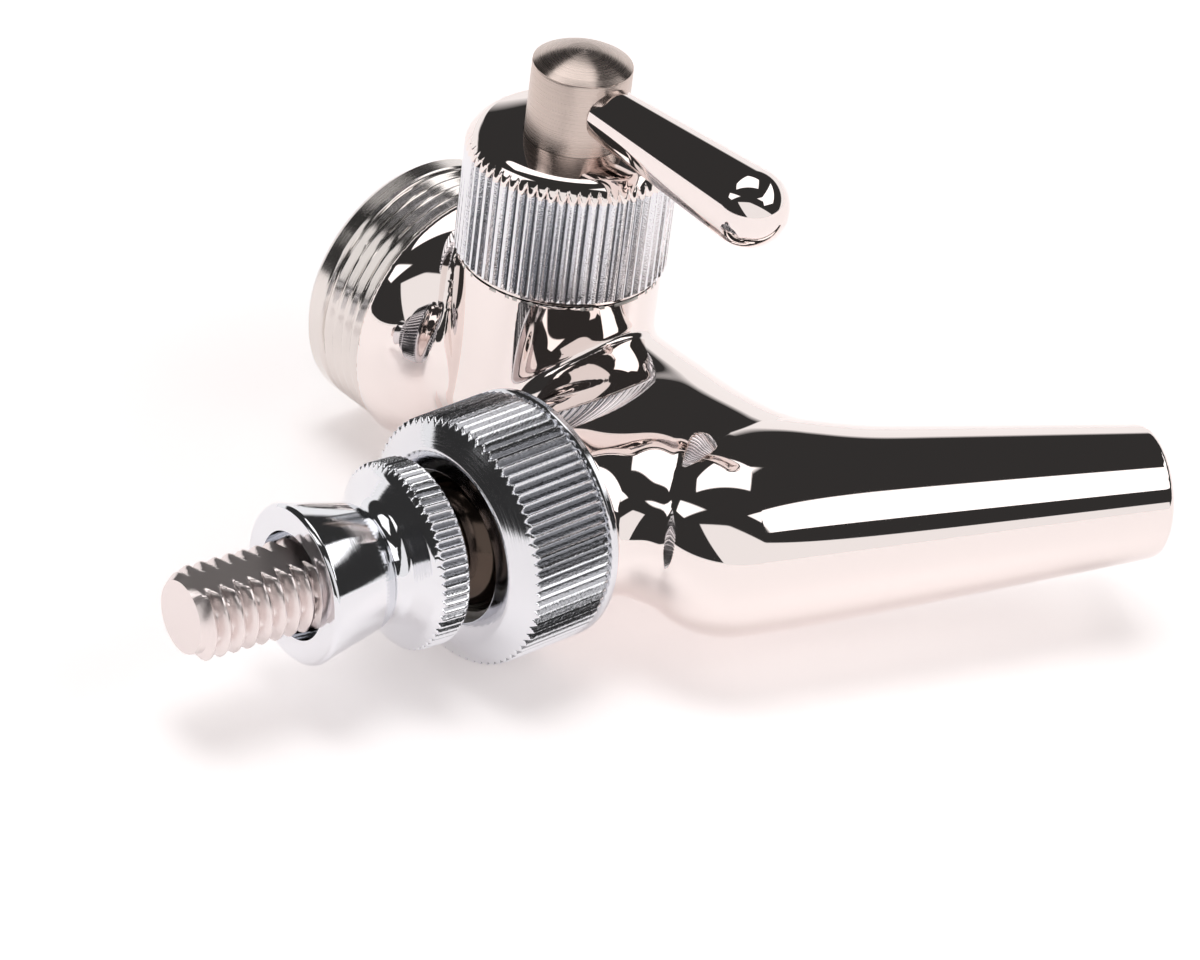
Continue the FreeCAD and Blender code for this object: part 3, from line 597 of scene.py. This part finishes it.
ballAngles = [math.pi * i / lever["ballSteps"] for i in range(lever["ballSteps"] + 1)]
ballRows = [(lever["ball"] * math.sin(angle), -lever["ball"] * math.cos(angle)) for angle in ballAngles]
leverMesh = turnedMesh([
    *lever["arm"], *[row for row in ballRows if row[0] > lever["armRadius"] and row[1] < 0],
    *[row for row in ballRows if row[0] > lever["rootRadius"] and row[1] >= 0], *lever["root"],
    *evenRows(lever["radius"], *lever["side"], lever["rows"]), *lever["tip"]], leverPlace, lever["steps"])
moveRadii(leverMesh, leverPlace, studShift)
# the ball and the arm below the stud take the ball's dark colour, painted shade of the recess
paint(leverMesh, leverPlace, lambda height, radius: 1 if height < lever["steelFrom"] else 0)
addPiece("threaded_lever", leverMesh, "tap_lever", [threadSteel, ballSteel], "lever")

stem = {"radius": 5.2, "edge": 37.0, "bevel": (5.12, 37.2), "rim": 37.3, "dome": 1.5, "domeSteps": 16,
        "domeBunch": 1.5, "drum": 7.55, "drumLow": 7.5, "drumHigh": 23.4, "steps": 128}
domeRadius = (stem["radius"] ** 2 + stem["dome"] ** 2) / (2 * stem["dome"])
domeRows = []
for i in range(1, stem["domeSteps"]):
    rise = stem["dome"] * (i / stem["domeSteps"]) ** stem["domeBunch"]
    drop = domeRadius - stem["dome"] + rise
    domeRows.append((math.sqrt(domeRadius ** 2 - drop ** 2), stem["rim"] + rise))
stemMesh = turnedMesh([
    (0, stem["drumLow"]), (stem["drum"], stem["drumLow"]), (stem["drum"], stem["drumHigh"]),
    (stem["radius"], stem["drumHigh"]), (stem["radius"], stem["edge"]), stem["bevel"], *domeRows,
    (0, stem["rim"] + stem["dome"])], flowPlace, stem["steps"])
addPiece("stem_post", stemMesh, "flow_control", [brushedStem], "flow_stem")

bar = {"screw": [(0, 1.0), (2.5, 1.0), (2.5, 4.2), (2.65, 4.25)], "root": (2.95, 4.6), "tip": 4.1,
       "reach": 30.0, "tipSteps": 16, "steps": 96}
tipCentre = bar["reach"] - bar["tip"]
tipAngles = [math.pi * i / (2 * bar["tipSteps"]) for i in range(bar["tipSteps"])]
tipRows = [(bar["tip"] * math.cos(angle), tipCentre + bar["tip"] * math.sin(angle)) for angle in tipAngles]
barMesh = turnedMesh([*bar["screw"], bar["root"], *tipRows, (0, bar["reach"])], barPlace, bar["steps"])
addPiece("flow_bar", barMesh, "flow_control", [chrome], "flow_lever")
print("lever, stem and bar ready")

innerFinish = [  # solids that keep their shape
    (innerSteel, ["throttle_seat", "flow_throttle", "crank_pin", "valve_shaft", "seal_seat"]),
    (sealRubber, ["ball_seal", "shaft_seal", "stem_seal_lower", "stem_seal_upper"]),
    (gasketRubber, ["coupling_gasket", "cap_gasket"]),
    (whitePlastic, ["bearing_cup", "friction_washer", "stem_washer"]),
]
for material, names in innerFinish:
    for name in names:
        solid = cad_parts[name].data
        solid.materials.clear()
        solid.materials.append(material)

table = {"height": -14.75, "half": 3000, "color": "#fffdfd", "rough": 0.9, "glow": "#fff6f5",
         "glowStrength": 0.35}


def layTable():  # matt white paper sweep, lit from below as well
    mesh = bmesh.new()
    bmesh.ops.create_grid(mesh, x_segments=1, y_segments=1, size=table["half"],
                          matrix=Matrix.Translation((0, 0, table["height"])))
    floor = meshObject("floor", mesh)
    paper = newMaterial("white_paper", table["color"], table["rough"], 0.0)
    shader = paper.node_tree.nodes["Principled BSDF"]
    shader.inputs["Emission Color"].default_value = srgb(table["glow"])
    shader.inputs["Emission Strength"].default_value = table["glowStrength"]
    floor.data.materials.append(paper)


layTable()

studio = {
    "dark": 0.035, "pale": 0.95, "rim": 0.02, "rimSoft": 0.001,
    "tint": (1.0, 0.985, 0.98, 1), "backdrop": (1, 1, 1, 1),  # only the camera sees the backdrop
    # windows: corners on a ceiling one unit up, anticlockwise, with softness and brightness
    "panes": [
        ([(0.17, -0.23), (0.55, 0.2), (0.4, 0.7), (-0.3, 0.72), (-0.6, 0.5)], 0.03, 1.6),
        ([(-0.85, 0.02), (-1.1, 0.95), (-1.7, 1.1), (-1.75, 0.6)], 0.05, 1.5),
        ([(-0.18, -0.72), (0.08, -1.12), (0.2, -0.78)], 0.02, 1.3),
        ([(0.12, -0.8), (0.12, -1.72), (1.3, -1.85), (1.3, 0.0)], 0.02, 1.7),
    ],
    # pale walls on the left of an open line: the tent in front, the wall behind
    "walls": [
        ([(-0.2, -2.1), (-0.78, -0.75), (-1.5, -0.1), (-3.5, -2.1)], 0.05, 0.95),
        ([(0, 3.5), (3.5, 0)], 0.57, 1.0),
    ],
    "lamp": {"energy": 0.75, "width": 24, "lean": (0.0, -0.1, 0.0)},
}


def ceilingShapes():  # each window or wall as its edges, softness and brightness
    shapes = [(list(zip(corners, corners[1:] + corners[:1])), soft, bright)
              for corners, soft, bright in studio["panes"]]
    return shapes + [(list(zip(line, line[1:])), soft, bright) for line, soft, bright in studio["walls"]]


def buildWorld():
    world = bpy.data.worlds.new("studio")
    bpy.context.scene.world = world
    world.use_nodes = True
    tree = world.node_tree
    tree.nodes.clear()
    coords = addNode(tree, "ShaderNodeTexCoord")
    parts = addNode(tree, "ShaderNodeSeparateXYZ", {"Vector": coords.outputs["Generated"]})
    rise = addNode(tree, "ShaderNodeMath", {0: parts.outputs["Z"], 1: studio["rim"]}, operation="MAXIMUM")
    spot = addNode(tree, "ShaderNodeVectorMath", {0: coords.outputs["Generated"], 1: rise.outputs[0]},
                   operation="DIVIDE")  # where a ray meets the ceiling
    total = 0.0
    for edges, soft, part in ceilingShapes():
        for start, end in edges:
            side = (Vector(end) - Vector(start)).orthogonal().normalized()
            plane = (side.x, side.y, -side.dot(Vector(start)))
            far = addNode(tree, "ShaderNodeVectorMath", {0: spot.outputs["Vector"], 1: plane},
                          operation="DOT_PRODUCT")
            inside = addNode(tree, "ShaderNodeMapRange", {
                "Value": far.outputs["Value"], "From Min": -soft / 2, "From Max": soft / 2, "To Max": part})
            part = inside.outputs["Result"]
        total = addNode(tree, "ShaderNodeMath", {0: total, 1: part}, operation="MAXIMUM").outputs[0]
    # below the ceiling's rim everything is pale
    light = addNode(tree, "ShaderNodeMapRange", {
        "Value": parts.outputs["Z"], "From Min": studio["rim"] - studio["rimSoft"],
        "From Max": studio["rim"], "To Min": studio["pale"], "To Max": total})
    bright = addNode(tree, "ShaderNodeMath", {0: light.outputs["Result"], 1: studio["dark"]},
                     operation="ADD")
    path = addNode(tree, "ShaderNodeLightPath")
    glow = addNode(tree, "ShaderNodeBackground", {"Color": studio["tint"], "Strength": bright.outputs[0]})
    plain = addNode(tree, "ShaderNodeBackground", {"Color": studio["backdrop"]})
    mix = addNode(tree, "ShaderNodeMixShader", {0: path.outputs["Is Camera Ray"], 1: glow.outputs[0],
                                                2: plain.outputs[0]})
    output = addNode(tree, "ShaderNodeOutputWorld")
    tree.links.new(mix.outputs[0], output.inputs["Surface"])


def hangLamp():  # one wide soft lamp overhead for the shadows on the paper; the metal doesn't mirror it
    light = bpy.data.lights.new("soft_lamp", "SUN")
    light.energy = studio["lamp"]["energy"]
    light.angle = math.radians(studio["lamp"]["width"])
    lamp = bpy.data.objects.new("soft_lamp", light)
    lamp.rotation_euler = studio["lamp"]["lean"]
    lamp.visible_glossy = False
    bpy.context.scene.collection.objects.link(lamp)


buildWorld()
hangLamp()

# camera fitted to the threads, the cap and the spout as they lie in the photograph, its place in metres
view = {
    "right": (0.7513, -0.651, 0.1081), "back": (-0.5938, -0.5953, 0.5413),
    "place": (-0.3570, -0.3907, 0.3177), "lens": 172.44, "sensor": 36, "nearest": 0.01, "farthest": 20,
}
camera = bpy.data.objects.new("camera", bpy.data.cameras.new("camera"))
bpy.context.scene.collection.objects.link(camera)
camera.matrix_world = axisPlace(view["place"], view["back"], view["right"])
camera.data.sensor_width = view["sensor"]
camera.data.lens = view["lens"]
camera.data.clip_start = view["nearest"]
camera.data.clip_end = view["farthest"]
bpy.context.scene.camera = camera
bpy.context.scene.view_settings.view_transform = "Standard"
print("studio ready")
